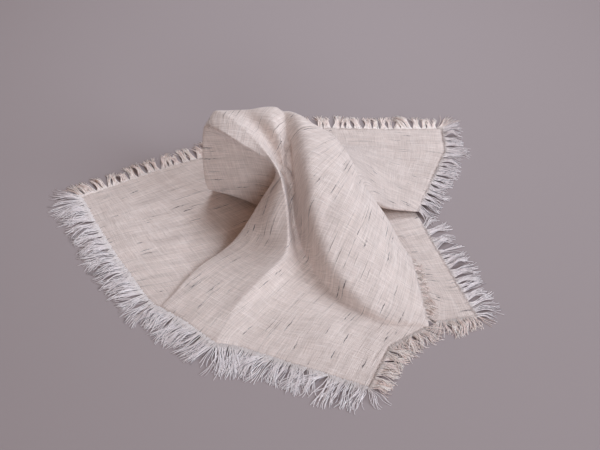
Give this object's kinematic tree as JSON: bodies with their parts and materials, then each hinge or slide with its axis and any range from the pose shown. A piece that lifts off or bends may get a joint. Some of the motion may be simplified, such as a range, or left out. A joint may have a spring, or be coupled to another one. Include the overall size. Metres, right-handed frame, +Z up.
{
  "type": "folded cloth napkin",
  "caption": "Square handwoven cloth napkin with fringed edges, pinched up at its middle into a leaning hood with two opposite corners under pleats, lying on a table.",
  "frame": {"origin": "middle of the footprint, on the surface it lies on", "axes": "+Z up; -Y towards the front corner and the viewer of the picture; -X towards the flat left flap that the hood's mouth faces"},
  "size_m": [0.4734, 0.4543, 0.1243],
  "materials": {
    "cloth": "plain-woven natural linen with dark slubs, matt",
    "fringe_silver": "loose grey-white yarn ends with dark flecks",
    "fringe_cream": "loose cream yarn ends, slightly twisted"
  },
  "bodies": {
    "root": {"cloth": "cloth", "fringe_front_left": "fringe_silver", "fringe_front_corner": "fringe_cream", "fringe_top_layer": "fringe_cream", "fringe_right_corner": "fringe_cream", "fringe_right": "fringe_silver", "fringe_back_corner": "fringe_silver", "fringe_back": "fringe_cream"}
  },
  "joints": []
}
